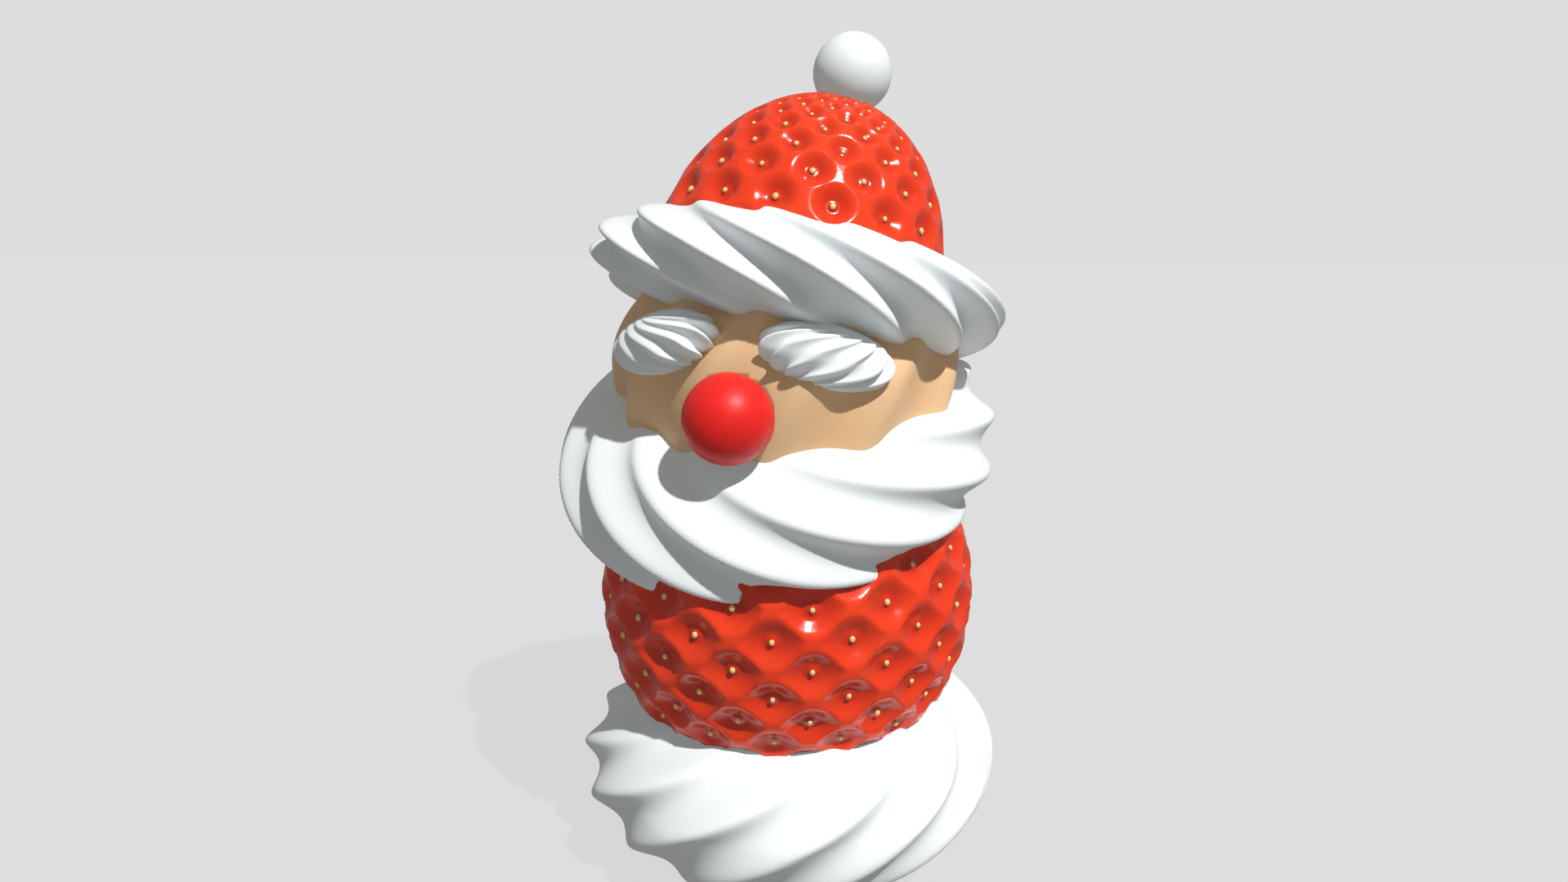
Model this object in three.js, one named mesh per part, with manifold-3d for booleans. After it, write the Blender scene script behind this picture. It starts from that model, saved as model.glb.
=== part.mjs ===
// A little dessert figure: a strawberry standing in piped cream, with a beard, a face and a
// hat brim of piped cream, a strawberry tip for a hat and a cream pompom on its point.
// Millimetres, +Z up, the figure faces -Y. The origin is the middle of the flat underside.
import * as THREE from 'three';
import { mergeVertices } from 'three/addons/utils/BufferGeometryUtils.js';
import Module from 'manifold-3d';

// ---- driving dimensions ---------------------------------------------------------------
const GAP = 0.3; // clearance between neighbouring pieces
const NOZZLE_TEETH = 12; // the star nozzle leaves this many ridges round each rosette
const FACETS = {
  acrossTooth: 5, rosetteRings: 14, acrossSmallTooth: 4, smallRosetteRings: 8,
  berryRings: 16, aroundBerry: 40, tipRings: 10, aroundTip: 40, ballRings: 10, aroundBall: 20,
};

const BERRY = { radius: 21, halfHeight: 22.5, centreZ: 31.6 }; // body strawberry, tip down
const NECK_Z = 47; // plane where the body strawberry is cut off and the face starts
const HAT = { radius: 15.9, height: 20.6, at: [0.4, 0, 65.4], tilt: [-8, 18.8, 0] };
const NOSE = { radius: 4.4, at: [-0.5, -19.8, 53.6] };
const POMPOM = { radius: 4.15, at: [6.6, 2, 87.5] };

// Rosettes: largest radius, height above and below it, how far a ridge turns from the widest
// ring to a pole (turn, plus a curl that gathers towards the poles), ridge height as a share
// of the radius, how blunt its crest is, and its place.
const BASE = {
  radius: 24, above: 10.8, below: 13.6, turn: 83.5, curlUp: 0, curlDown: 0,
  depth: 0.07, soft: 0.4, hand: 1, start: -15, at: [0.2, 0.4, 12.2], tilt: [2.7, 0.4, 0],
};
const BEARD = {
  radius: 24.6, above: 9.6, below: 10.2, turn: 68.4, curlUp: 18.8, curlDown: 63.9,
  depth: 0.07, soft: 0.4, hand: -1, start: -14.1, at: [-1.5, 0, 48.2], tilt: [23.5, -1.7, 0],
  section: 0.65,
};
const FACE = {
  radius: 19.2, above: 15, below: 20, turn: 50, curlUp: 0, curlDown: 0,
  depth: 0.06, soft: 0.35, hand: 1, start: 20.4, at: [0, 0, 56.7], tilt: [0, 0, 0],
};
const BRIM = {
  radius: 22.8, above: 7.1, below: 7.7, turn: 85, curlUp: 0, curlDown: 0,
  depth: 0.1, soft: 0.35, hand: -1, start: 16, at: [1.2, 0, 65.3], tilt: [-10.6, 9, 0],
};
const BROW = {
  radius: 6.9, above: 3.2, below: 3, turn: 33, curlUp: 100, curlDown: 80,
  depth: 0.17, soft: 0.3, thickness: 0.5,
};
const BROW_RIGHT = {
  ...BROW, hand: 1, start: -47, at: [8, -15.6, 59.2], tilt: [0.5, 14, 25],
};
const BROW_LEFT = {
  ...BROW, hand: -1, start: -42, at: [-8.2, -15.8, 60.2], tilt: [15, -12.5, -25],
};

// ---- materials ------------------------------------------------------------------------
const finish = (color, roughness) =>
  new THREE.MeshStandardMaterial({ color, roughness, metalness: 0 });
const cream = finish(0xeef2f3, 0.55);
const peachCream = finish(0xf0c093, 0.6);
const strawberry = finish(0xd81c10, 0.2);
const glazedSugar = finish(0xe8150f, 0.3);

// ---- placing --------------------------------------------------------------------------
const radians = THREE.MathUtils.degToRad;

function placement({ at, tilt = [0, 0, 0] }) {
  const turn = new THREE.Euler(...tilt.map(radians), 'ZYX');
  return new THREE.Matrix4().makeRotationFromEuler(turn).setPosition(...at);
}

// ---- shapes ---------------------------------------------------------------------------
// Closed surface through stacked rings. ring(t, angle) gives a point, t runs from 0 to 1, and
// the first and last rings shrink to a point.
function closedRings(rings, around, ring) {
  const points = [];
  const faces = [];
  for (let k = 0; k <= rings; k++) {
    for (let i = 0; i < around; i++) points.push(...ring(k / rings, (2 * Math.PI * i) / around));
  }
  for (let k = 0; k < rings; k++) {
    for (let i = 0; i < around; i++) {
      const low = k * around;
      const high = low + around;
      const next = (i + 1) % around;
      if (k > 0) faces.push(low + i, low + next, high + next);
      if (k < rings - 1) faces.push(low + i, high + next, high + i);
    }
  }
  const geometry = new THREE.BufferGeometry();
  geometry.setAttribute('position', new THREE.Float32BufferAttribute(points, 3));
  geometry.setIndex(faces);
  return mergeVertices(geometry, 1e-4);
}

// Ridge left by one tooth of the nozzle: 1 on the sharp crest, 0 in the round valley.
function ridge(turns, soft) {
  const wave = Math.hypot(Math.sin(Math.PI * turns), soft);
  return 1 - (wave - soft) / (Math.hypot(1, soft) - soft);
}

// Piped rosette: a squat round body whose ridges wind from pole to pole. Its section is an
// ellipse for 1 and fuller in the shoulders for less.
function rosette(spec, grow = 0) {
  const thickness = spec.thickness ?? 1;
  const section = spec.section ?? 1;
  const rings = spec.thickness ? FACETS.smallRosetteRings : FACETS.rosetteRings;
  const around = NOZZLE_TEETH * (spec.thickness ? FACETS.acrossSmallTooth : FACETS.acrossTooth);
  return closedRings(rings, around, (t, angle) => {
    const rise = Math.PI * (t - 0.5);
    const up = rise > 0;
    const share = rise / (Math.PI / 2);
    const turn = radians(spec.turn * share + (up ? spec.curlUp : -spec.curlDown) * share ** 2);
    const teeth = ((angle - turn - radians(spec.start)) * NOZZLE_TEETH) / (2 * Math.PI);
    const shrink = 1 - spec.depth * (1 - ridge(teeth, spec.soft));
    const radius = (spec.radius * shrink + grow) * Math.max(0, Math.cos(rise)) ** section;
    const height = ((up ? spec.above : spec.below) + grow) * Math.sin(rise);
    const place = spec.hand * angle;
    return [radius * Math.cos(place), thickness * radius * Math.sin(place), height];
  });
}

// Round body for the berry, the nose and the pompom.
function ovoid(radius, halfHeight, rings, around) {
  return closedRings(rings, around, (t, angle) => {
    const rise = Math.PI * (t - 0.5);
    const r = radius * Math.cos(rise);
    return [r * Math.cos(angle), r * Math.sin(angle), halfHeight * Math.sin(rise)];
  });
}

// Pointed end of a strawberry, cut flat at z = from.
function berryTip(grow = 0) {
  const foot = GAP / 2 - grow;
  const outline = [new THREE.Vector2(0, foot)];
  for (let k = 0; k < FACETS.tipRings; k++) {
    const rise = (Math.PI / 2) * (k / FACETS.tipRings);
    const height = k ? (HAT.height + grow) * Math.sin(rise) : foot;
    outline.push(new THREE.Vector2((HAT.radius + grow) * Math.cos(rise), height));
  }
  outline.push(new THREE.Vector2(0, HAT.height + grow));
  return closedLathe(outline, FACETS.aroundTip);
}

function closedLathe(outline, around) {
  const lathe = new THREE.LatheGeometry(outline, around).rotateX(Math.PI / 2);
  lathe.deleteAttribute('normal');
  lathe.deleteAttribute('uv');
  return mergeVertices(lathe, 1e-4);
}

// ---- cutting --------------------------------------------------------------------------
const wasm = await Module();
wasm.setup();

function toSolid(geometry, matrix) {
  const placed = geometry.clone().applyMatrix4(matrix);
  const index = Array.from(placed.index.array);
  if (signedVolume(placed) < 0) index.reverse();
  const vertProperties = Float32Array.from(placed.attributes.position.array);
  const mesh = new wasm.Mesh({ numProp: 3, vertProperties, triVerts: Uint32Array.from(index) });
  return new wasm.Manifold(mesh);
}

function signedVolume({ index, attributes: { position } }) {
  const [a, b, c] = [0, 1, 2].map(() => new THREE.Vector3());
  let volume = 0;
  for (let i = 0; i < index.count; i += 3) {
    a.fromBufferAttribute(position, index.getX(i));
    b.fromBufferAttribute(position, index.getX(i + 1));
    c.fromBufferAttribute(position, index.getX(i + 2));
    volume += a.dot(b.cross(c)) / 6;
  }
  return volume;
}

// The largest single body of a cut solid: the crumbs that a cut leaves at feather edges go.
function largestBody(solid) {
  return solid.decompose().sort((a, b) => b.volume() - a.volume())[0];
}

// Everything above (side 1) or below (side -1) a piece's own plane z = level.
function halfSpace(level, side, matrix = new THREE.Matrix4()) {
  const size = 200;
  const block = mergeVertices(bare(new THREE.BoxGeometry(size, size, size)));
  block.translate(0, 0, level + (side * size) / 2);
  return toSolid(block, matrix);
}

function bare(geometry) {
  geometry.deleteAttribute('normal');
  geometry.deleteAttribute('uv');
  return geometry;
}

// A named mesh at its own place, from a solid in the figure's frame.
function piece(name, solid, material, spec) {
  const { vertProperties, triVerts } = largestBody(solid).getMesh();
  const geometry = new THREE.BufferGeometry();
  geometry.setAttribute('position', new THREE.Float32BufferAttribute(vertProperties, 3));
  geometry.setIndex(Array.from(triVerts));
  const matrix = placement(spec);
  geometry.applyMatrix4(matrix.clone().invert());
  const mesh = new THREE.Mesh(geometry, material);
  mesh.name = name;
  mesh.applyMatrix4(matrix);
  return mesh;
}

// ---- the pieces, each in its own function, whole or grown by the clearance --------------
const berryPlace = { at: [0, 0, BERRY.centreZ] };

function bodyBerry(grow = 0) {
  const { berryRings, aroundBerry } = FACETS;
  const whole = ovoid(BERRY.radius + grow, BERRY.halfHeight + grow, berryRings, aroundBerry);
  return toSolid(whole, placement(berryPlace)).subtract(halfSpace(NECK_Z - GAP / 2 + grow, 1));
}

function hatBerry(grow = 0) {
  return toSolid(berryTip(grow), placement(HAT));
}

function ball(spec, grow = 0) {
  const radius = spec.radius + grow;
  return toSolid(ovoid(radius, radius, FACETS.ballRings, FACETS.aroundBall), placement(spec));
}

function face(grow = 0) {
  return toSolid(rosette(FACE, grow), placement(FACE))
    .subtract(halfSpace(NECK_Z + GAP / 2 - grow, -1))
    .subtract(halfSpace(-GAP / 2 + grow, 1, placement(HAT)))
    .subtract(ball(NOSE, grow ? 0 : GAP));
}

function wholeBrim(grow = 0) {
  return toSolid(rosette(BRIM, grow), placement(BRIM));
}

function brim() {
  return wholeBrim().subtract(face(GAP)).subtract(hatBerry(GAP));
}

function beard() {
  return toSolid(rosette(BEARD), placement(BEARD))
    .subtract(bodyBerry(GAP))
    .subtract(face(GAP))
    .subtract(wholeBrim(GAP))
    .subtract(ball(NOSE, GAP));
}

function base() {
  const whole = toSolid(rosette(BASE), placement(BASE));
  return whole.subtract(halfSpace(0, -1)).subtract(bodyBerry(GAP));
}

function brow(spec) {
  return toSolid(rosette(spec), placement(spec)).subtract(face(GAP)).subtract(wholeBrim(2 * GAP));
}

function pompom() {
  return ball(POMPOM).subtract(hatBerry(GAP));
}

// ---- the figure -----------------------------------------------------------------------
const figure = new THREE.Group();
figure.name = 'strawberry_and_cream_figure';
figure.add(
  piece('base_cream', base(), cream, BASE),
  piece('body_berry', bodyBerry(), strawberry, berryPlace),
  piece('beard_cream', beard(), cream, BEARD),
  piece('face_cream', face(), peachCream, FACE),
  piece('nose', ball(NOSE), glazedSugar, NOSE),
  piece('brow_left', brow(BROW_LEFT), cream, BROW_LEFT),
  piece('brow_right', brow(BROW_RIGHT), cream, BROW_RIGHT),
  piece('brim_cream', brim(), cream, BRIM),
  piece('hat_berry', hatBerry(), strawberry, HAT),
  piece('pompom', pompom(), cream, POMPOM),
);

export default figure;
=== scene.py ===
# A little dessert figure: two strawberries held together and dressed with piped cream.
# Each section below is one piece, or a pair of like ones, in the order in which the figure is
# put together.
import math

import bpy
from mathutils import Matrix, Vector


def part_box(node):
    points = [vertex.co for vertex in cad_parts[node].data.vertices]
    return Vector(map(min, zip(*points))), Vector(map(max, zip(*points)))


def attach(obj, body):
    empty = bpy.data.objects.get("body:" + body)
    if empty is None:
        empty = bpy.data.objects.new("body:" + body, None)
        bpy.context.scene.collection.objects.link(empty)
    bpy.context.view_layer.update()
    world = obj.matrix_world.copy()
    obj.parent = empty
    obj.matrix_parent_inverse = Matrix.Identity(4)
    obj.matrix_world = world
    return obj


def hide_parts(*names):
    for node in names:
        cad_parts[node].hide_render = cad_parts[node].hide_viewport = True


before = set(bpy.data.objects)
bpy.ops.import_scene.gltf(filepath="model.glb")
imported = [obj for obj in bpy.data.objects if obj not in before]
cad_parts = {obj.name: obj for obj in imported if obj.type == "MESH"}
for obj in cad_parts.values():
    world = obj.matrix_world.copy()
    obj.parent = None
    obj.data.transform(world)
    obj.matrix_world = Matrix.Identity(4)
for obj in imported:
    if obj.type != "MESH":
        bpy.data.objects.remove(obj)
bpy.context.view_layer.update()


# ---- Body strawberry -------------------------------------------------------------------
# A large ripe strawberry stands tip down and is the body of the figure. It is cut flat at the
# stem end. Its glossy skin is drawn in to a dimple round each of the small golden seeds.
MM = 0.001
NUMBER, WHOLE, VECTOR = "NodeSocketFloat", "NodeSocketInt", "NodeSocketVector"
GEOMETRY, MATERIAL = "NodeSocketGeometry", "NodeSocketMaterial"


class Value:
    """A number or a vector that a node tree works out. Arithmetic on it adds Math nodes."""

    def __init__(self, tree, socket):
        self.tree = tree
        self.socket = socket

    def maths(self, operation, *others):
        node = add(self.tree, "ShaderNodeMath", operation=operation)
        for slot, value in zip(node.inputs, (self, *others)):
            plug(self.tree, value, slot)
        return Value(self.tree, node.outputs[0])

    def vector(self, operation, *others, **named):
        node = add(self.tree, "ShaderNodeVectorMath", named, operation=operation)
        for slot, value in zip(node.inputs, (self, *others)):
            plug(self.tree, value, slot)
        gives_number = operation in ("DOT_PRODUCT", "LENGTH", "DISTANCE")
        return Value(self.tree, node.outputs["Value" if gives_number else "Vector"])

    def __add__(self, other):
        return self.maths("ADD", other)

    def __sub__(self, other):
        return self.maths("SUBTRACT", other)

    def __rsub__(self, other):
        return self.maths("MULTIPLY_ADD", -1.0, other)

    def __mul__(self, other):
        return self.maths("MULTIPLY", other)

    def __truediv__(self, other):
        return self.maths("DIVIDE", other)

    def __rtruediv__(self, other):
        return self.maths("POWER", -1.0) * other

    __radd__ = __add__
    __rmul__ = __mul__

    def sin(self):
        return self.maths("SINE")

    def cos(self):
        return self.maths("COSINE")

    def bell(self):
        """1 at 0, falling smoothly to 0 at 1 and beyond."""
        rest = 1 - (self * self).maths("MINIMUM", 1.0)
        return rest * rest


def plug(tree, value, slot):
    """Links a socket or a worked-out value to an input, or sets the input to a plain one."""
    if isinstance(value, Value):
        value = value.socket
    if isinstance(value, bpy.types.NodeSocket):
        tree.links.new(value, slot)
    else:
        slot.default_value = value


def add(tree, kind, inputs=None, **settings):
    """A new node, with its settings made and its named or numbered inputs filled."""
    node = tree.nodes.new(kind)
    for name, value in settings.items():
        setattr(node, name, value)
    for name, value in (inputs or {}).items():
        plug(tree, value, node.inputs[name])
    return node


def combine(tree, x, y, z):
    return Value(tree, add(tree, "ShaderNodeCombineXYZ", {0: x, 1: y, 2: z}).outputs[0])


def new_tree(name, kind, inputs, outputs):
    """A node tree with named inputs and outputs: the tree, its inputs by name and its end node."""
    tree = bpy.data.node_groups.new(name, kind)
    for socket, (socket_type, default) in inputs.items():
        made = tree.interface.new_socket(socket, in_out="INPUT", socket_type=socket_type)
        if default is not None:
            made.default_value = default
    for socket, socket_type in outputs.items():
        tree.interface.new_socket(socket, in_out="OUTPUT", socket_type=socket_type)
    start = tree.nodes.new("NodeGroupInput")
    given = {name: Value(tree, start.outputs[name]) for name in inputs}
    return tree, given, tree.nodes.new("NodeGroupOutput")


def settled(piece):
    """The piece with what its modifiers make as its plain mesh, and the modifiers gone."""
    evaluated = piece.evaluated_get(bpy.context.evaluated_depsgraph_get())
    mesh = bpy.data.meshes.new_from_object(evaluated)
    mesh.name = piece.name
    piece.modifiers.clear()
    piece.data = mesh
    return piece


def made_by(tree, name, values):
    """A plain mesh object from a geometry tree, with values for the tree's named inputs."""
    piece = bpy.data.objects.new(name, bpy.data.meshes.new(name))
    bpy.context.scene.collection.objects.link(piece)
    modifier = piece.modifiers.new("make", "NODES")
    modifier.node_group = tree
    for socket in tree.interface.items_tree:
        if socket.in_out == "INPUT" and socket.name in values:
            modifier[socket.identifier] = values[socket.name]
    return settled(piece)


# The outline of a strawberry, which can lean. Rise is 0 at its widest ring and a quarter turn
# at its tip.
OUTLINE = {
    "Radius": (NUMBER, 20 * MM),
    "Height": (NUMBER, 20 * MM),
    "Lean": (NUMBER, 0.0),
}
THINNEST = 1e-5  # share of the radius left at the tip, where the last ring is merged


def outline_group():
    outputs = {"Place": VECTOR, "Outward": VECTOR, "East": VECTOR, "Spread": NUMBER}
    inputs = {**OUTLINE, "Rise": (NUMBER, 0.0), "Turn": (NUMBER, 0.0)}
    tree, given, result = new_tree("strawberry outline", "GeometryNodeTree", inputs, outputs)
    radius, height, lean, rise, turn = given.values()
    spread = rise.cos().maths("MAXIMUM", THINNEST)
    ring = radius * spread
    tall = height * rise.sin()
    slope = radius * rise.sin() - height * lean * spread * turn.cos()
    outward = combine(tree, height * spread * turn.cos(), height * spread * turn.sin(), slope)
    x = ring * turn.cos() + tall * lean
    plug(tree, combine(tree, x, ring * turn.sin(), tall), result.inputs["Place"])
    plug(tree, outward.vector("NORMALIZE"), result.inputs["Outward"])
    plug(tree, combine(tree, turn.sin() * -1, turn.cos(), 0.0), result.inputs["East"])
    plug(tree, spread, result.inputs["Spread"])
    return tree


outline = outline_group()


def use_group(tree, group, values):
    node = add(tree, "GeometryNodeGroup", node_tree=group)
    for name, value in values.items():
        plug(tree, value, node.inputs[name])
    return node


# Seeds stand in staggered rings that crowd together as the fruit narrows to its tip.
SEED_RINGS = {
    "Seeds Round": (WHOLE, 16),
    "Rings": (WHOLE, 18),
    "First Ring": (NUMBER, -0.75),
    "Ring Step": (NUMBER, 0.146),
    "Start Turn": (NUMBER, 0.0),
}


def seed_places_group():
    outputs = {"Points": GEOMETRY, "East": VECTOR, "Outward": VECTOR, "Spread": NUMBER}
    inputs = {**OUTLINE, **SEED_RINGS}
    tree, given, result = new_tree("seed places", "GeometryNodeTree", inputs, outputs)
    seeds_round = given["Seeds Round"]
    index = Value(tree, add(tree, "GeometryNodeInputIndex").outputs[0])
    ring = (index / seeds_round).maths("FLOOR")
    rise = (ring * given["Ring Step"] + given["First Ring"]).maths("SINH").maths("ARCTANGENT")
    stagger = ring.maths("MODULO", 2.0) / 2
    turn = (index - ring * seeds_round + stagger) / seeds_round * math.tau + given["Start Turn"]
    shape = {name: given[name] for name in OUTLINE}
    place = use_group(tree, outline, {**shape, "Rise": rise, "Turn": turn})
    count = given["Rings"] * seeds_round
    points = add(tree, "GeometryNodePoints", {"Count": count, "Position": place.outputs["Place"]})
    plug(tree, points.outputs[0], result.inputs["Points"])
    for name in ("East", "Outward", "Spread"):
        plug(tree, place.outputs[name], result.inputs[name])
    return tree


seed_places = seed_places_group()


def placed(tree, geometry, given):
    """The steps that close every piece's tree: place, smooth shading, real faces, material."""
    moved = add(
        tree,
        "GeometryNodeTransform",
        {"Geometry": geometry, "Translation": given["Place"], "Rotation": given["Tilt"]},
    )
    smooth = add(tree, "GeometryNodeSetShadeSmooth", {0: moved.outputs[0]})
    real = add(tree, "GeometryNodeRealizeInstances", {0: smooth.outputs[0]})
    finished = add(tree, "GeometryNodeSetMaterial", {0: real.outputs[0], "Material": given["Material"]})
    return finished.outputs[0]


MIDDLE = (0.0, 0.0, 0.0)
PLACING = {"Place": (VECTOR, MIDDLE), "Tilt": (VECTOR, MIDDLE), "Material": (MATERIAL, None)}
DIMPLES = {
    "Cut Rise": (NUMBER, 0.0),
    "Facets Round": (WHOLE, 440),
    "Facets Up": (WHOLE, 190),
    "Dimple Width": (NUMBER, 3.8 * MM),
    "Dimple Length": (NUMBER, 2.9 * MM),
    "Dimple Depth": (NUMBER, 1.3 * MM),
    "Nub Size": (NUMBER, 1.1 * MM),
    "Nub Height": (NUMBER, 0.5 * MM),
}
SEAM = 1e-6  # vertices this close at the seam and the tip are one


def chart(tree, round_facets, up_facets):
    """A flat net of faces to be wrapped into a body: the net, and its 0 to 1 across and up."""
    grid = add(
        tree,
        "GeometryNodeMeshGrid",
        {"Size X": 1.0, "Size Y": 1.0, "Vertices X": round_facets + 1, "Vertices Y": up_facets + 1},
    )
    split = add(tree, "ShaderNodeSeparateXYZ", {0: add(tree, "GeometryNodeInputPosition").outputs[0]})
    across, up = (Value(tree, split.outputs[n]) + 0.5 for n in (0, 1))
    return grid.outputs["Mesh"], across, up


def kept(tree, geometry, name, value, data_type="FLOAT"):
    """The geometry with a value kept on it for the material to read."""
    store = add(tree, "GeometryNodeStoreNamedAttribute", data_type=data_type, domain="POINT")
    plug(tree, geometry, store.inputs["Geometry"])
    plug(tree, name, store.inputs["Name"])
    plug(tree, value, store.inputs["Value"])
    return store.outputs[0]


def sewn(tree, wrapped):
    """The wrapped net with its seam and its poles closed."""
    inputs = {"Geometry": wrapped.outputs[0], "Distance": SEAM}
    return add(tree, "GeometryNodeMergeByDistance", inputs).outputs[0]


def skin_tree():
    inputs = {**OUTLINE, **SEED_RINGS, **DIMPLES, **PLACING}
    tree, given, result = new_tree("strawberry skin", "GeometryNodeTree", inputs, {"Mesh": GEOMETRY})
    net, across, up = chart(tree, given["Facets Round"], given["Facets Up"])

    # The first part of the net closes the flat cut at the stem end.
    cut_share = 0.05
    inside_cut = (up / cut_share).maths("MINIMUM", 1.0)
    above_cut = ((up - cut_share) / (1 - cut_share)).maths("MAXIMUM", 0.0)
    rise = given["Cut Rise"] + above_cut * (math.pi / 2 - given["Cut Rise"])
    shape = {name: given[name] for name in OUTLINE}
    here = use_group(tree, outline, {**shape, "Rise": rise, "Turn": across * math.tau})
    place = Value(tree, here.outputs["Place"])

    seeds = use_group(tree, seed_places, {**shape, **{name: given[name] for name in SEED_RINGS}})
    nearest = add(tree, "GeometryNodeSampleNearest", {"Sample Position": place}, domain="POINT")
    plug(tree, seeds.outputs["Points"], nearest.inputs["Geometry"])

    def at_seed(field, data_type="FLOAT_VECTOR"):
        """What a field is at the seed that stands nearest."""
        sample = add(tree, "GeometryNodeSampleIndex", data_type=data_type, domain="POINT")
        plug(tree, seeds.outputs["Points"], sample.inputs["Geometry"])
        plug(tree, field, sample.inputs["Value"])
        plug(tree, nearest.outputs[0], sample.inputs["Index"])
        return Value(tree, sample.outputs[0])

    reach = place.vector("SUBTRACT", at_seed(add(tree, "GeometryNodeInputPosition").outputs[0]))
    spread = at_seed(seeds.outputs["Spread"], "FLOAT")
    east = reach.vector("DOT_PRODUCT", at_seed(seeds.outputs["East"]))
    far = reach.vector("LENGTH")
    north = (far * far - east * east).maths("MAXIMUM", 0.0).maths("SQRT")
    wide = east / (given["Dimple Width"] * spread)
    long = north / (given["Dimple Length"] * spread)
    hollow = (wide * wide + long * long).maths("SQRT").bell()
    nub = (far / (given["Nub Size"] * spread)).bell()
    dimpled = (given["Nub Height"] * nub - given["Dimple Depth"] * hollow) * spread
    sunk = dimpled * inside_cut.maths("FLOOR")

    flat = place.vector("MULTIPLY", combine(tree, inside_cut, inside_cut, 1.0))
    outward = Value(tree, here.outputs["Outward"]).vector("SCALE", Scale=sunk)
    wrapped = add(tree, "GeometryNodeSetPosition", {"Position": flat.vector("ADD", outward)})
    plug(tree, kept(tree, net, "dimple", hollow), wrapped.inputs["Geometry"])
    plug(tree, placed(tree, sewn(tree, wrapped), given), result.inputs[0])
    return tree


def seeds_tree():
    size = {
        "Seed Size": (VECTOR, (0.6 * MM, 0.66 * MM, 0.45 * MM)),
        "Seed Sink": (NUMBER, 0.5 * MM),
        "Random Seed": (WHOLE, 3),
    }
    inputs = {**OUTLINE, **SEED_RINGS, **size, **PLACING}
    tree, given, result = new_tree("strawberry seeds", "GeometryNodeTree", inputs, {"Mesh": GEOMETRY})
    rings = {name: given[name] for name in (*OUTLINE, *SEED_RINGS)}
    seeds = use_group(tree, seed_places, rings)
    spread = Value(tree, seeds.outputs["Spread"])
    sink = Value(tree, seeds.outputs["Outward"]).vector("SCALE", Scale=spread * given["Seed Sink"] * -1)
    sunk = add(tree, "GeometryNodeSetPosition", {"Geometry": seeds.outputs["Points"], "Offset": sink})
    align = "FunctionNodeAlignRotationToVector"
    outward = add(tree, align, {"Vector": seeds.outputs["Outward"]}, axis="Z")
    eastward = {"Rotation": outward.outputs[0], "Vector": seeds.outputs["East"]}
    upright = add(tree, align, eastward, axis="X", pivot_axis="Z")
    grain = add(tree, "GeometryNodeMeshUVSphere", {"Segments": 12, "Rings": 8, "Radius": 0.5})
    vary = add(tree, "FunctionNodeRandomValue", {"Seed": given["Random Seed"]}, data_type="FLOAT")
    least_share, greatest_share = vary.inputs[2], vary.inputs[3]
    least_share.default_value, greatest_share.default_value = 0.85, 1.1
    share = Value(tree, vary.outputs[1]) * spread.maths("SQRT")
    grain_size = given["Seed Size"].vector("SCALE", Scale=share)
    scattered = add(
        tree,
        "GeometryNodeInstanceOnPoints",
        {
            "Points": sunk.outputs[0],
            "Instance": grain.outputs[0],
            "Rotation": upright.outputs[0],
            "Scale": grain_size,
        },
    )
    plug(tree, placed(tree, scattered.outputs[0], given), result.inputs[0])
    return tree


skin = skin_tree()
seeds = seeds_tree()


def principled(name, **values):
    """A material of one Principled surface: the material, its tree and that surface."""
    material = bpy.data.materials.new(name)
    material.use_nodes = True
    surface = material.node_tree.nodes["Principled BSDF"]
    for word, value in values.items():
        surface.inputs[word.replace("_", " ")].default_value = value
    return material, material.node_tree, surface


def attribute(tree, name, output="Fac"):
    return Value(tree, add(tree, "ShaderNodeAttribute", attribute_name=name).outputs[output])


def own_place(tree):
    return add(tree, "ShaderNodeTexCoord").outputs["Object"]


def noise(tree, place, size, detail=3.0):
    """Soft random spots of about that size in metres, from 0 to 1."""
    inputs = {"Vector": place, "Scale": 1 / size, "Detail": detail}
    return Value(tree, add(tree, "ShaderNodeTexNoise", inputs).outputs["Fac"])


def blend(tree, factor, first, second):
    """One colour laid over another by a factor."""
    node = add(tree, "ShaderNodeMix", data_type="RGBA")
    for slot, value in ((0, factor), (6, first), (7, second)):
        plug(tree, value, node.inputs[slot])
    return Value(tree, node.outputs[2])


def bump(tree, height, distance, surface, strength=1.0):
    node = add(tree, "ShaderNodeBump", {"Height": height, "Distance": distance, "Strength": strength})
    plug(tree, node.outputs[0], surface.inputs["Normal"])


RIPE_RED = (0.86, 0.032, 0.008, 1)
ORANGE_RED = (0.93, 0.075, 0.014, 1)  # the lighter patches
# Painted shade: a darker red laid into the hollows of the dimples.
DIMPLE_SHADE_RED = (0.50, 0.012, 0.006, 1)  # down in the dimples


def skin_material():
    material, tree, surface = principled(
        "strawberry skin",
        Specular_IOR_Level=0.5,
        Subsurface_Weight=0.12,
        Subsurface_Radius=(1.0, 0.15, 0.08),
        Subsurface_Scale=1.2 * MM,
    )
    place = own_place(tree)
    patch_size, wrinkle_size, wrinkle_depth = 7 * MM, 0.9 * MM, 0.05 * MM
    # How much of the painted shade red lies at the bottom of a dimple.
    dimple_shade_share = 0.55  # of the deep red at the bottom of a dimple
    smoothest, wrinkled = 0.13, 0.12
    patches = noise(tree, place, patch_size)
    mottle = blend(tree, patches.maths("SMOOTH_MIN", 1.0, 0.1), RIPE_RED, ORANGE_RED)
    # Painted shade: the skin is laid a darker red towards the bottom of each dimple.
    colour = blend(tree, attribute(tree, "dimple") * dimple_shade_share, mottle, DIMPLE_SHADE_RED)
    plug(tree, colour, surface.inputs["Base Color"])
    wrinkles = noise(tree, place, wrinkle_size, detail=4.0)
    plug(tree, wrinkles * wrinkled + smoothest, surface.inputs["Roughness"])
    bump(tree, wrinkles, wrinkle_depth, surface, 0.5)
    return material


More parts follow.
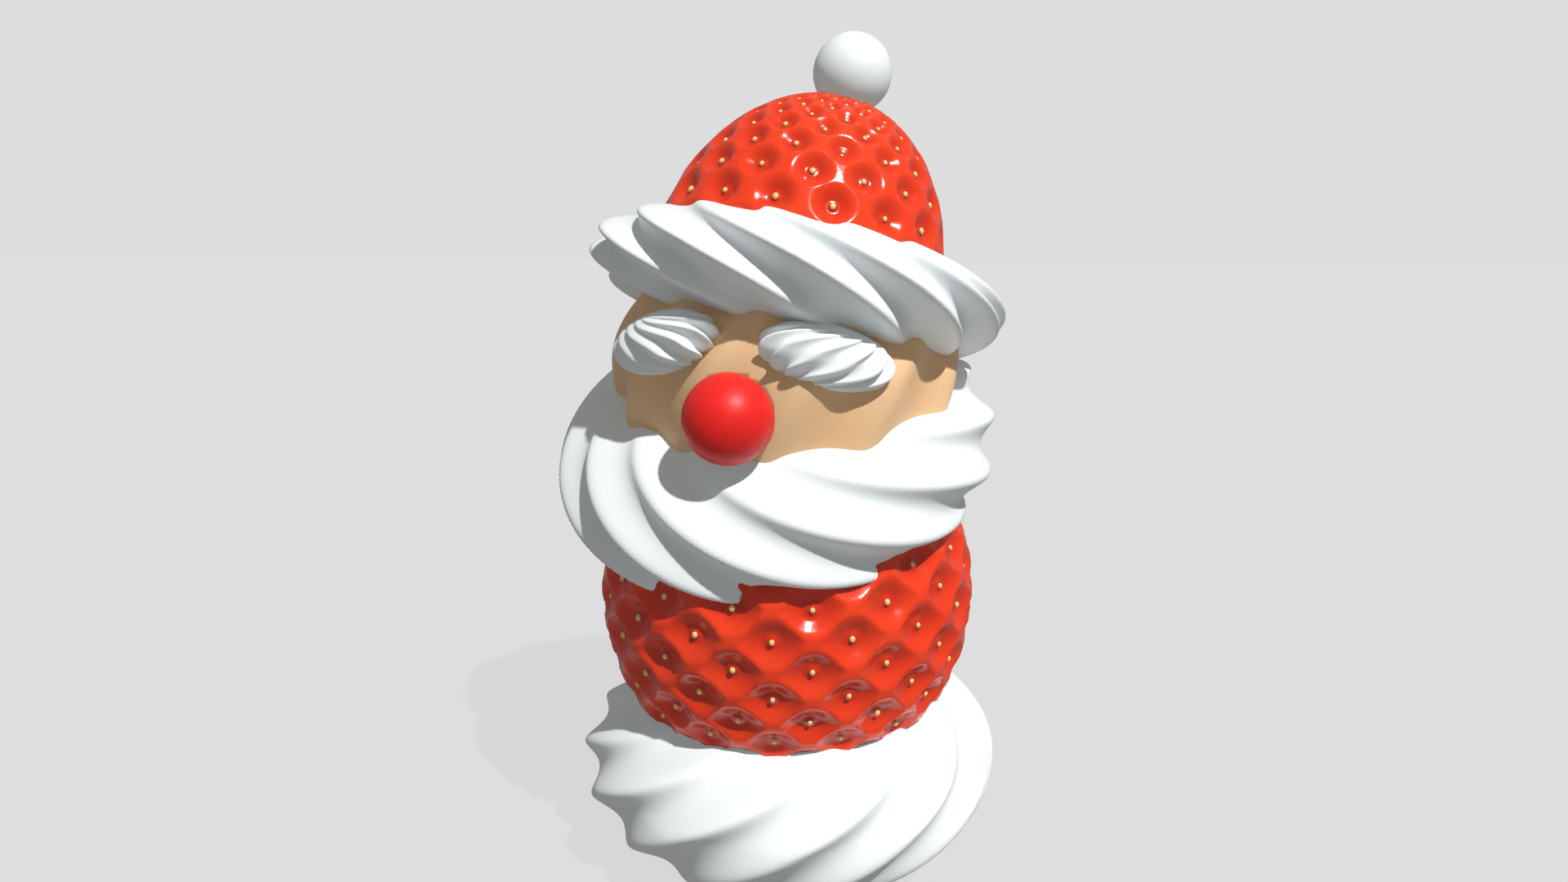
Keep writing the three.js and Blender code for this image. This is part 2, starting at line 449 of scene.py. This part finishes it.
def seed_material():
    material, tree, surface = principled("strawberry seed", Roughness=0.35)
    golden, straw = (0.86, 0.52, 0.13, 1), (0.95, 0.72, 0.33, 1)
    spot_size, spot_depth = 0.5 * MM, 0.02 * MM
    husk = noise(tree, own_place(tree), spot_size)
    plug(tree, blend(tree, husk, golden, straw), surface.inputs["Base Color"])
    bump(tree, husk, spot_depth, surface)
    return material


strawberry_skin = skin_material()
golden_seed = seed_material()

body_low, body_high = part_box("body_berry")
body_radius = (body_high.x - body_low.x) / 2
BODY_HALF_HEIGHT = 22.5 * MM  # from the widest ring to the tip
body_middle = body_low.z + BODY_HALF_HEIGHT
body_fruit = {
    "Radius": body_radius,
    "Height": BODY_HALF_HEIGHT,
    "Seeds Round": 16,
    "Rings": 18,
    "First Ring": -0.746,
    "Ring Step": 0.146,
    "Start Turn": math.radians(0.6),
    "Cut Rise": -math.asin((body_high.z - body_middle) / BODY_HALF_HEIGHT),
    "Place": (0.0, 0.0, body_middle),
    "Tilt": (math.pi, 0.0, 0.0),
}
body_berry = made_by(skin, "body_berry_skin", {**body_fruit, "Material": strawberry_skin})
body_grains = {"Seed Sink": 0.75 * MM, "Material": golden_seed}
body_seeds = made_by(seeds, "body_berry_seeds", {**body_fruit, **body_grains})
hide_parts("body_berry")
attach(body_berry, "root")
body_berry.visible_diffuse = False  # its red light doesn't tint the cream
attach(body_seeds, "root")


# ---- Base cream ------------------------------------------------------------------------
# The figure stands in a rosette of firm white cream, piped in one turn of the bag through a
# star nozzle of twelve teeth. Its own weight and the berry's have pressed it flat underneath.
POLE = 1e-9  # share of the radius left where the ridges meet, merged into one point
ROSETTE = {
    "Radius": (NUMBER, 24 * MM),
    "Above": (NUMBER, 10 * MM),
    "Below": (NUMBER, 14 * MM),
    "Turn": (NUMBER, 1.2),
    "Curl Above": (NUMBER, 0.0),
    "Curl Below": (NUMBER, 0.0),
    "Teeth": (WHOLE, 12),
    "Ridge Depth": (NUMBER, 0.1),
    "Ridge Softness": (NUMBER, 0.3),
    "Start Turn": (NUMBER, 0.0),
    "Thickness": (NUMBER, 1.0),
    "Section": (NUMBER, 1.0),
    "Facets Round": (WHOLE, 288),
    "Facets Up": (WHOLE, 96),
    "Lowest": (NUMBER, -1.0),
}


def rosette_tree():
    inputs = {**ROSETTE, **PLACING}
    tree, given, result = new_tree("piped rosette", "GeometryNodeTree", inputs, {"Mesh": GEOMETRY})
    net, across, up = chart(tree, given["Facets Round"], given["Facets Up"])
    climb = up * 2 - 1  # -1 at the bottom pole, 1 at the top
    above = climb.maths("MAXIMUM", 0.0)
    below = climb.maths("MINIMUM", 0.0)
    curled = given["Curl Above"] * above * above - given["Curl Below"] * below * below
    wound = given["Turn"] * climb + curled
    own_turn = across * math.tau - wound - given["Start Turn"]

    # A tooth of the nozzle leaves a sharp crest and a round valley.
    wave = (own_turn * given["Teeth"] / 2).sin()
    soft = given["Ridge Softness"]
    blunt = (wave * wave + soft * soft).maths("SQRT")
    valley = (blunt - soft) / ((soft * soft + 1).maths("SQRT") - soft)

    rise = climb * (math.pi / 2)
    level = rise.cos().maths("MAXIMUM", POLE).maths("POWER", given["Section"])
    radius = given["Radius"] * (1 - given["Ridge Depth"] * valley) * level
    x = radius * (across * math.tau).cos()
    y = radius * (across * math.tau).sin() * given["Thickness"]
    tall = above.maths("COMPARE", 0.0, 0.0)
    z = (given["Below"] * tall + given["Above"] * (1 - tall)) * rise.sin()

    drag = 0.12  # how little the drag lines change along a ridge
    direction = combine(tree, own_turn.cos(), own_turn.sin(), climb * drag)
    net = kept(tree, net, "ridge_line", direction, "FLOAT_VECTOR")
    # The valley share is kept for the cream's painted shade in its valleys.
    net = kept(tree, net, "valley", valley)
    body = {"Geometry": net, "Position": combine(tree, x, y, z)}
    wrapped = add(tree, "GeometryNodeSetPosition", body)
    in_place = placed(tree, sewn(tree, wrapped), given)
    split = add(tree, "ShaderNodeSeparateXYZ", {0: add(tree, "GeometryNodeInputPosition").outputs[0]})
    height = Value(tree, split.outputs[2]).maths("MAXIMUM", given["Lowest"])
    pressed = combine(tree, split.outputs[0], split.outputs[1], height)
    flat = add(tree, "GeometryNodeSetPosition", {"Geometry": in_place, "Position": pressed})
    plug(tree, flat.outputs[0], result.inputs[0])
    return tree


rosette = rosette_tree()


def degrees(**angles):
    """Named angles given in degrees, as tree inputs in radians."""
    turned = {}
    for name, value in angles.items():
        several = isinstance(value, tuple)
        each = tuple(math.radians(v) for v in value) if several else math.radians(value)
        turned[name.replace("_", " ")] = each
    return turned


def millimetres(**sizes):
    """Named sizes given in millimetres, as tree inputs in metres."""
    scaled = {}
    for name, value in sizes.items():
        several = isinstance(value, tuple)
        each = tuple(v * MM for v in value) if several else value * MM
        scaled[name.replace("_", " ")] = each
    return scaled


def piped_texture_group():
    """The surface that a nozzle leaves on cream: drag lines along the ridges and fine bubbles."""
    inputs = {
        "Line Size": (NUMBER, 0.02),
        "Line Share": (NUMBER, 0.5),
        "Bubble Size": (NUMBER, 0.35 * MM),
    }
    outputs = {"Height": NUMBER, "Tone": NUMBER}
    tree, given, result = new_tree("piped texture", "ShaderNodeTree", inputs, outputs)
    bubble_reach, tone_size = 0.3, 6 * MM
    line = {"Vector": attribute(tree, "ridge_line", "Vector"), "Scale": 1 / given["Line Size"]}
    lines = add(tree, "ShaderNodeTexNoise", {**line, "Detail": 2.0})
    place = own_place(tree)
    bubbles = add(tree, "ShaderNodeTexVoronoi", {"Vector": place, "Scale": 1 / given["Bubble Size"]})
    pits = (Value(tree, bubbles.outputs["Distance"]) / bubble_reach).bell()
    line_share = given["Line Share"]
    height = Value(tree, lines.outputs["Fac"]) * line_share - pits * (1 - line_share)
    plug(tree, height, result.inputs["Height"])
    plug(tree, noise(tree, place, tone_size), result.inputs["Tone"])
    return tree


piped_texture = piped_texture_group()


def cream_material(name, light, shade):
    """Firm whipped cream: two close tones, satin, with light passing a little way in. The darker tone
    comes in random patches and also as painted shade down the ridge valleys.
    """
    material, tree, surface = principled(
        name,
        Specular_IOR_Level=0.3,
        Subsurface_Weight=0.1,
        Subsurface_Radius=(1.0, 0.9, 0.8),
        Subsurface_Scale=0.5 * MM,
    )
    # The darker tone is laid in random patches, and as painted shade along the valleys between the
    # ridges.
    patchy, valley_shade_share = 0.5, 0.35  # shares of the shade tone
    smoothest, uneven = 0.42, 0.1
    line_depth = 0.03 * MM
    texture = add(tree, "ShaderNodeGroup", node_tree=piped_texture)
    tone = Value(tree, texture.outputs["Tone"])
    shaded = tone * patchy + attribute(tree, "valley") * valley_shade_share
    plug(tree, blend(tree, shaded, light, shade), surface.inputs["Base Color"])
    plug(tree, tone * uneven + smoothest, surface.inputs["Roughness"])
    bump(tree, texture.outputs["Height"], line_depth, surface, 0.5)
    return material


# The shade tone is laid in random patches, and as painted shade in the ridge valleys.
COOL_WHITE, COOL_SHADE = (0.93, 0.965, 0.97, 1), (0.87, 0.915, 0.925, 1)
white_cream = cream_material("white cream", COOL_WHITE, COOL_SHADE)


def cut(piece, *cores):
    """Takes the cores' room out of the piece, so that it only presses into its neighbours."""
    for core in cores:
        boolean = piece.modifiers.new("cut", "BOOLEAN")
        boolean.operation = "DIFFERENCE"
        boolean.solver = "MANIFOLD"
        boolean.object = core
        settled(piece)
        bpy.data.objects.remove(core)
    return piece


PRESSED_IN = 0.45 * MM  # how far the cream fills in past the fruit's outline, into its dimples


def body_core():
    """The body strawberry without dimples, a little smaller, for cutting what it is pressed into."""
    smooth = {
        "Radius": body_radius - PRESSED_IN,
        "Height": BODY_HALF_HEIGHT - PRESSED_IN,
        "Dimple Depth": 0.0,
        "Nub Height": 0.0,
        "Facets Round": 96,
        "Facets Up": 60,
    }
    return made_by(skin, "body_core", {**body_fruit, **smooth})


base_cream = made_by(
    rosette,
    "base_cream_rosette",
    {
        **millimetres(Radius=24, Above=10.8, Below=13.6, Place=(0.2, 0.4, 12.2)),
        **degrees(Turn=83.5, Start_Turn=-15, Tilt=(2.7, 0.4, 0)),
        "Ridge Depth": 0.07,
        "Ridge Softness": 0.4,
        "Lowest": 0.0,
        "Material": white_cream,
    },
)
cut(base_cream, body_core())
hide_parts("base_cream")
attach(base_cream, "root")


# ---- Face ------------------------------------------------------------------------------
# The head is a rosette of cream tinted peach, standing on the cut end of the berry. Its domed
# top is hidden in the hat, and a nose of red sugar is pressed into its front.
# The deeper peach is the darker tone: in random patches, and as painted shade in the ridge valleys.
PEACH, DEEP_PEACH = (0.90, 0.60, 0.34, 1), (0.84, 0.50, 0.25, 1)
peach_cream = cream_material("peach cream", PEACH, DEEP_PEACH)

face_low, face_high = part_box("face_cream")
nose_low, nose_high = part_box("nose")
nose_middle = (nose_low + nose_high) / 2
nose_radius = (nose_high.x - nose_low.x) / 2
FACE_BODY = {
    **millimetres(Radius=19.2, Above=15, Below=20, Place=(0, 0, 56.7)),
    **degrees(Turn=50, Start_Turn=20.4),
    "Ridge Depth": 0.06,
    "Ridge Softness": 0.35,
    "Lowest": face_low.z,
}


def ball_core(middle, radius):
    """A plain ball for cutting a round hollow."""
    bpy.ops.mesh.primitive_uv_sphere_add(segments=96, ring_count=48, radius=radius)
    core = bpy.context.object
    core.data.transform(Matrix.Translation(middle))
    return core


piped_peach = {**FACE_BODY, "Facets Up": 80, "Material": peach_cream}
face_cream = made_by(rosette, "face_cream_rosette", piped_peach)
cut(face_cream, ball_core(nose_middle, nose_radius))
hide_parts("face_cream")
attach(face_cream, "root")


def face_core():
    """The face, a little slimmer, for cutting the cream piped against it."""
    smaller = {"Radius": FACE_BODY["Radius"] - PRESSED_IN, "Facets Round": 144, "Facets Up": 48}
    return made_by(rosette, "face_core", {**FACE_BODY, **smaller})


# ---- Nose ------------------------------------------------------------------------------
# A round sweet with a smooth red sugar shell, tumbled in a pan, so it is very nearly a ball.
BRIGHT_RED, DULLER_RED = (0.90, 0.022, 0.018, 1), (0.84, 0.016, 0.012, 1)
DULL_SPOT, GRAIN, GRAIN_DEPTH = 1.6 * MM, 0.8 * MM, 0.015 * MM


def sugar_material():
    material, tree, surface = principled("red sugar shell", Specular_IOR_Level=0.3)
    smoothest, duller = 0.36, 0.12
    sugar = noise(tree, own_place(tree), DULL_SPOT)
    plug(tree, blend(tree, sugar, BRIGHT_RED, DULLER_RED), surface.inputs["Base Color"])
    plug(tree, sugar * duller + smoothest, surface.inputs["Roughness"])
    bump(tree, noise(tree, own_place(tree), GRAIN), GRAIN_DEPTH, surface)
    return material


def ball(name, middle, radius, out_of_round, material):
    """A ball that is a hair out of round: out_of_round gives its swell at a unit direction."""
    bpy.ops.mesh.primitive_ico_sphere_add(subdivisions=6, radius=1)
    made = bpy.context.object
    made.name = name
    for vertex in made.data.vertices:
        vertex.co = middle + vertex.co * radius * (1 + out_of_round(*vertex.co))
    made.data.shade_smooth()
    made.data.materials.append(material)
    return made


def tumbled(x, y, z):
    swell = 0.006
    return swell * math.sin(3 * x + 2 * z) * math.cos(4 * y)


nose = ball("nose_sweet", nose_middle, nose_radius, tumbled, sugar_material())
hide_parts("nose")
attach(nose, "root")
nose.visible_diffuse = False


# ---- Hat strawberry --------------------------------------------------------------------
# The pointed end of a second strawberry, cut flat and pressed slanting over the top of the
# face, tip up, so that it leans like a soft cap.
hat_fruit = {
    **millimetres(Radius=15.95, Height=20.5, Place=(0.4, 0, 65.4)),
    **degrees(Tilt=(-8, 9, 0)),
    "Lean": 0.07,
    "Seeds Round": 16,
    "Rings": 13,
    "First Ring": -0.005,
    "Ring Step": 0.19,
    **millimetres(Dimple_Width=2.7, Dimple_Length=2.5, Dimple_Depth=1.1),
    **millimetres(Nub_Size=0.9, Nub_Height=0.35),
    "Facets Round": 400,
    "Facets Up": 170,
}
hat_grains = {"Seed Sink": 0.7 * MM, "Material": golden_seed}
hat_berry = made_by(skin, "hat_berry_skin", {**hat_fruit, "Material": strawberry_skin})
hat_seeds = made_by(seeds, "hat_berry_seeds", {**hat_fruit, **hat_grains})
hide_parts("hat_berry")
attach(hat_berry, "root")
hat_berry.visible_diffuse = False
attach(hat_seeds, "root")


def hat_core():
    """The hat strawberry without dimples, a little smaller, for cutting the cream on it."""
    smooth = {
        "Radius": hat_fruit["Radius"] - PRESSED_IN,
        "Height": hat_fruit["Height"] - PRESSED_IN,
        "Dimple Depth": 0.0,
        "Nub Height": 0.0,
        "Facets Round": 96,
        "Facets Up": 60,
    }
    return made_by(skin, "hat_core", {**hat_fruit, **smooth})


# ---- Hat brim --------------------------------------------------------------------------
# A flat white rosette piped round the foot of the hat strawberry. It slants with the hat and
# overhangs the brows.
BRIM = {
    **millimetres(Radius=22.8, Above=7.1, Below=7.7, Place=(1.2, 0, 65.3)),
    **degrees(Turn=-85, Start_Turn=-16, Tilt=(-10.6, 9, 0)),
    "Ridge Depth": 0.1,
    "Ridge Softness": 0.35,
}
brim_cream = made_by(rosette, "brim_cream_rosette", {**BRIM, "Material": white_cream})
cut(brim_cream, face_core(), hat_core())
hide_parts("brim_cream")
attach(brim_cream, "root")


def brim_core():
    """The whole brim rosette, a little smaller, for cutting the cream that it presses on."""
    smaller = {"Radius": BRIM["Radius"] - PRESSED_IN, "Facets Round": 144, "Facets Up": 48}
    return made_by(rosette, "brim_core", {**BRIM, **smaller})


# ---- Beard -----------------------------------------------------------------------------
# White cream piped round the joint of berry and face in one wide rosette that dips at the
# front, so it hides the joint and holds the two together.
beard_cream = made_by(
    rosette,
    "beard_cream_rosette",
    {
        **millimetres(Radius=24.6, Above=9.6, Below=10.2, Place=(-1.5, 0, 48.2)),
        **degrees(Turn=-68.4, Curl_Above=-18.8, Curl_Below=-63.9),
        **degrees(Start_Turn=14.1, Tilt=(23.5, -1.7, 0)),
        "Section": 0.65,
        "Ridge Depth": 0.07,
        "Ridge Softness": 0.4,
        "Material": white_cream,
    },
)
cut(beard_cream, body_core(), face_core(), brim_core(), ball_core(nose_middle, nose_radius))
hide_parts("beard_cream")
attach(beard_cream, "root")


# ---- Brows -----------------------------------------------------------------------------
# Two small rosettes of white cream, piped with a fine nozzle and squeezed flat on the face.
# They are wound opposite ways and slant down towards the outside.
BROW = {
    **millimetres(Radius=6.9, Above=3.2, Below=3),
    "Ridge Depth": 0.17,
    "Ridge Softness": 0.3,
    "Thickness": 0.5,
    "Facets Round": 240,
    "Facets Up": 60,
    "Material": white_cream,
}
BROWS = {
    "brow_left": {
        **millimetres(Place=(-8.2, -15.8, 60.2)),
        **degrees(Turn=-33, Curl_Above=-100, Curl_Below=-80),
        **degrees(Start_Turn=42, Tilt=(15, -12.5, -25)),
    },
    "brow_right": {
        **millimetres(Place=(8, -15.6, 59.2)),
        **degrees(Turn=33, Curl_Above=100, Curl_Below=80),
        **degrees(Start_Turn=-47, Tilt=(0.5, 14, 25)),
    },
}
for node, own in BROWS.items():
    brow = made_by(rosette, f"{node}_rosette", {**BROW, **own})
    cut(brow, face_core(), brim_core())
    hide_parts(node)
    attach(brow, "root")


# ---- Pompom ----------------------------------------------------------------------------
# A small ball of the white cream, scooped round and set on the leaning point of the hat.
pompom_low, pompom_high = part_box("pompom")
pompom_radius = (pompom_high.x - pompom_low.x) / 2
pompom_across = (pompom_low + pompom_high) / 2
pompom_middle = Vector((pompom_across.x, pompom_across.y, pompom_high.z - pompom_radius))


def scooped(x, y, z):
    swell = 0.008
    return swell * math.sin(2.3 * x + 1) * math.sin(3.1 * y + 2 * z)


pompom = ball("pompom_ball", pompom_middle, pompom_radius, scooped, white_cream)
cut(pompom, hat_core())
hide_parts("pompom")
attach(pompom, "root")


# ---- Table, light and camera -----------------------------------------------------------
# The figure stands on a plain pale table in an evenly lit pale room, with one lamp high on
# the right.
scene = bpy.context.scene
scene.view_settings.view_transform = "Standard"

PALE = 0.723  # how bright the room's walls and the table look
ROOM_LIGHT = 0.25  # how much of it falls on the figure
WHITE = (1, 1, 1, 1)
TABLE_GREY = (0.06, 0.06, 0.06, 1)
TABLE_SIZE = 8.0
pale_table = principled(
    "pale table",
    Roughness=0.9,
    Specular_IOR_Level=0.1,
    Base_Color=TABLE_GREY,
    Emission_Color=WHITE,
    Emission_Strength=0.66,
)[0]
bpy.ops.mesh.primitive_plane_add(size=TABLE_SIZE)
floor = bpy.context.object
floor.name = "pale_table"
floor.data.materials.append(pale_table)
floor.visible_diffuse = False
floor.visible_glossy = False

world = bpy.data.worlds.new("pale room")
world.use_nodes = True
scene.world = world
room = world.node_tree
background = room.nodes["Background"]
background.inputs["Color"].default_value = WHITE
seen = Value(room, add(room, "ShaderNodeLightPath").outputs["Is Camera Ray"])
plug(room, seen * (PALE - ROOM_LIGHT) + ROOM_LIGHT, background.inputs["Strength"])

# Both stand off the figure by a turn to the right and a rise over the table.
CAMERA_TURN, CAMERA_RISE = math.radians(15), math.radians(10.5)
right = Vector((math.cos(CAMERA_TURN), math.sin(CAMERA_TURN), 0))
towards = Vector((math.sin(CAMERA_TURN), -math.cos(CAMERA_TURN), 0))
upwards = Vector((0, 0, 1))

LAMP_TURN, LAMP_RISE = math.radians(33), math.radians(51)  # the turn is from the camera's
LAMP_STRENGTH, LAMP_WIDTH = 3.35, math.radians(1.5)
lamp = bpy.data.objects.new("key_lamp", bpy.data.lights.new("key lamp", "SUN"))
lamp.data.energy = LAMP_STRENGTH
lamp.data.angle = LAMP_WIDTH
scene.collection.objects.link(lamp)
level_way = towards * math.cos(LAMP_TURN) + right * math.sin(LAMP_TURN)
lamp_way = level_way * math.cos(LAMP_RISE) + upwards * math.sin(LAMP_RISE)
lamp.rotation_euler = lamp_way.to_track_quat("Z", "Y").to_euler()

CAMERA_DISTANCE = 119.5 * MM
AIM_HEIGHT, AIM_LEFT = 48 * MM, 0.35 * MM
aim = upwards * AIM_HEIGHT - right * AIM_LEFT
camera_way = towards * math.cos(CAMERA_RISE) + upwards * math.sin(CAMERA_RISE)
camera = bpy.data.objects.new("camera", bpy.data.cameras.new("camera"))
camera.data.lens, camera.data.sensor_width = 24.43, 36
camera.data.clip_start = 1 * MM
scene.collection.objects.link(camera)
camera.location = aim + camera_way * CAMERA_DISTANCE
camera.rotation_euler = camera_way.to_track_quat("Z", "Y").to_euler()
scene.camera = camera
